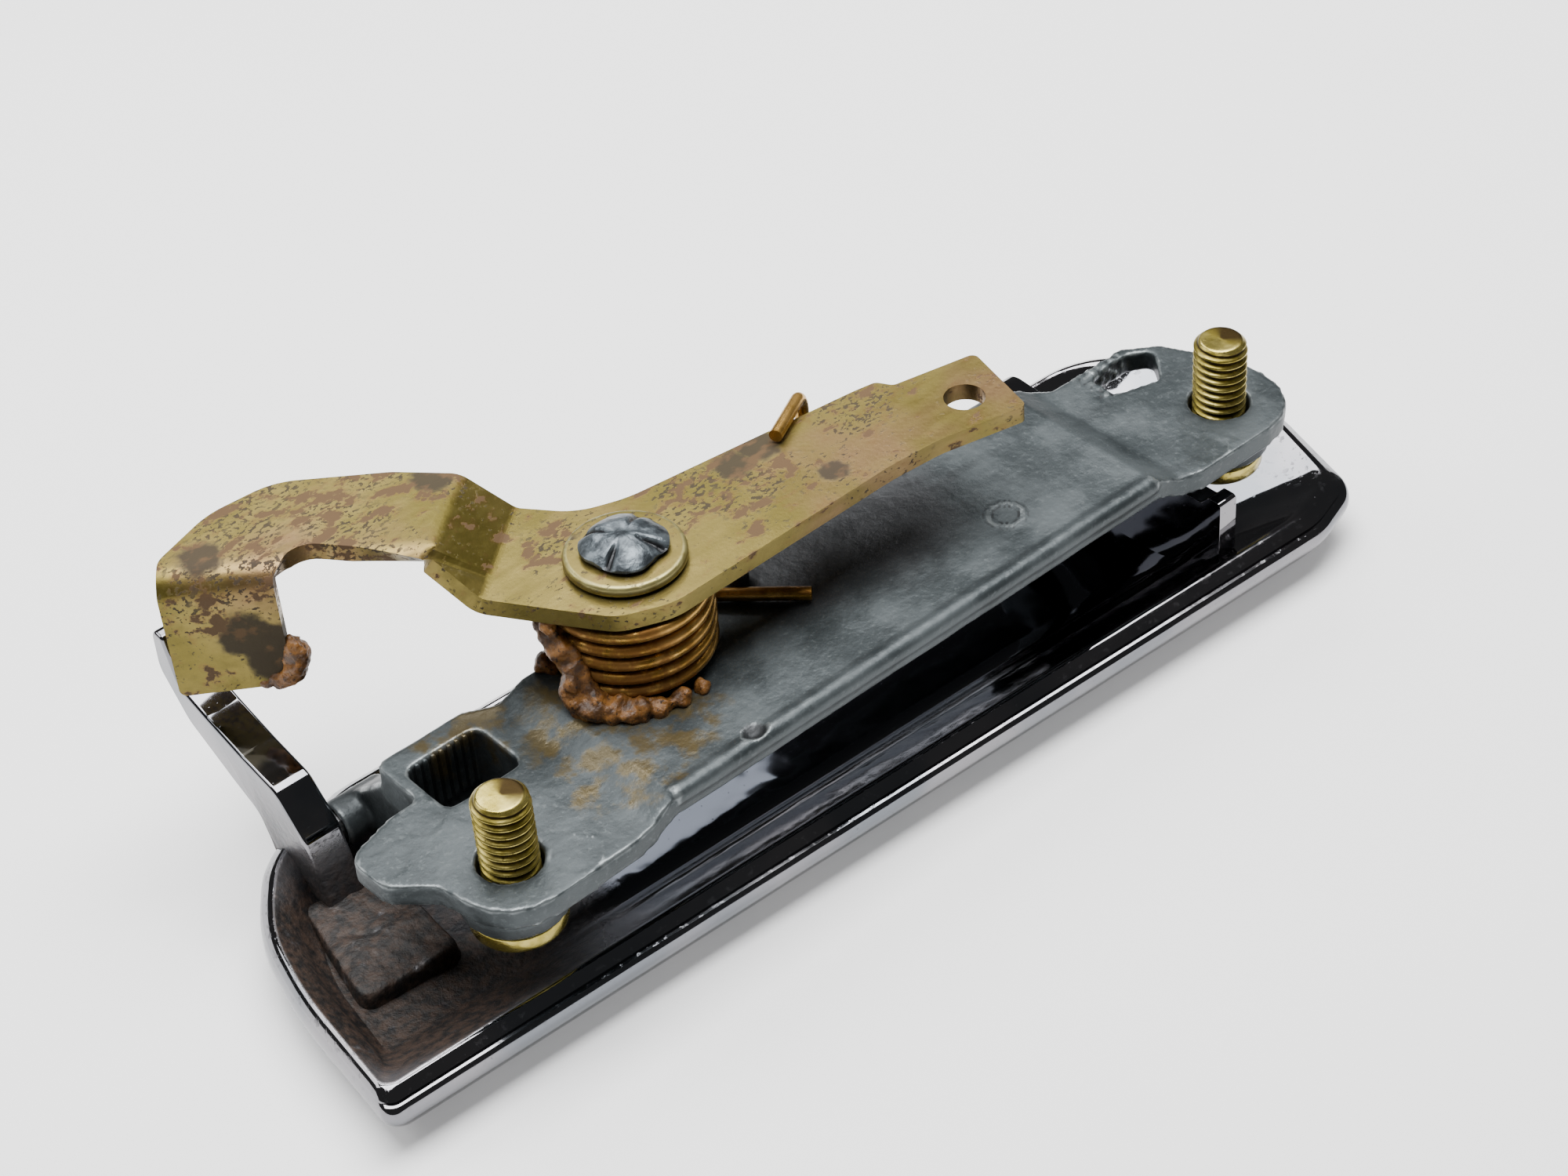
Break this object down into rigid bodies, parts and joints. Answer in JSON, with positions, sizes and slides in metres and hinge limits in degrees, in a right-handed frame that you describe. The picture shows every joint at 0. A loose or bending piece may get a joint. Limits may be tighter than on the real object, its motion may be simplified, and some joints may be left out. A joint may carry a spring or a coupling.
{
  "type": "flap door handle",
  "caption": "Pull-flap door handle seen from its mounting side: chromed dish hinged to a cast bracket, working a sprung sheet-metal release lever with a rod eye.",
  "frame": {"origin": "centre of the bounding box's underside, which is the flap's outer face", "axes": "+X along the handle from the release arm's end to the far stud, +Y from the flap's free edge to its hinge, +Z into the door along the studs"},
  "size_m": [0.1402, 0.0602, 0.0378],
  "materials": {
    "zinc_casting": "bare die-cast zinc, dull blue-grey",
    "yellow_zinc": "yellow-passivated zinc plate on steel, rust speckled",
    "pin_steel": "plain ground steel",
    "spring_steel": "brown-gold spring wire",
    "chrome": "bright chrome plate, pitted at the edges"
  },
  "bodies": {
    "base": {"base_bracket": "zinc_casting", "left_stud": "yellow_zinc", "right_stud": "yellow_zinc", "left_hinge_pin": "pin_steel", "right_hinge_pin": "pin_steel", "pivot_washer": "yellow_zinc"},
    "flap": {"pull_flap": "chrome"},
    "lever": {"release_lever": "yellow_zinc", "torsion_spring": "spring_steel"}
  },
  "joints": [
    {"name": "flap_hinge", "type": "hinge", "parent": "base", "child": "flap", "pos_m": [-0.00564, 0.00838, 0.0092], "axis": [1, 0, 0], "range_deg": [0, 25]},
    {"name": "lever_pivot", "type": "hinge", "parent": "base", "child": "lever", "pos_m": [-0.02074, -0.00442, 0.0324], "axis": [0, 0, 1], "range_deg": [0, 8], "stiffness_Nm_per_rad": 0.2, "springref_deg": -34.38, "deforming": ["torsion_spring"]}
  ],
  "couplings": [
    {"joint": "lever_pivot", "follows": "flap_hinge", "ratio": 0.32}
  ]
}
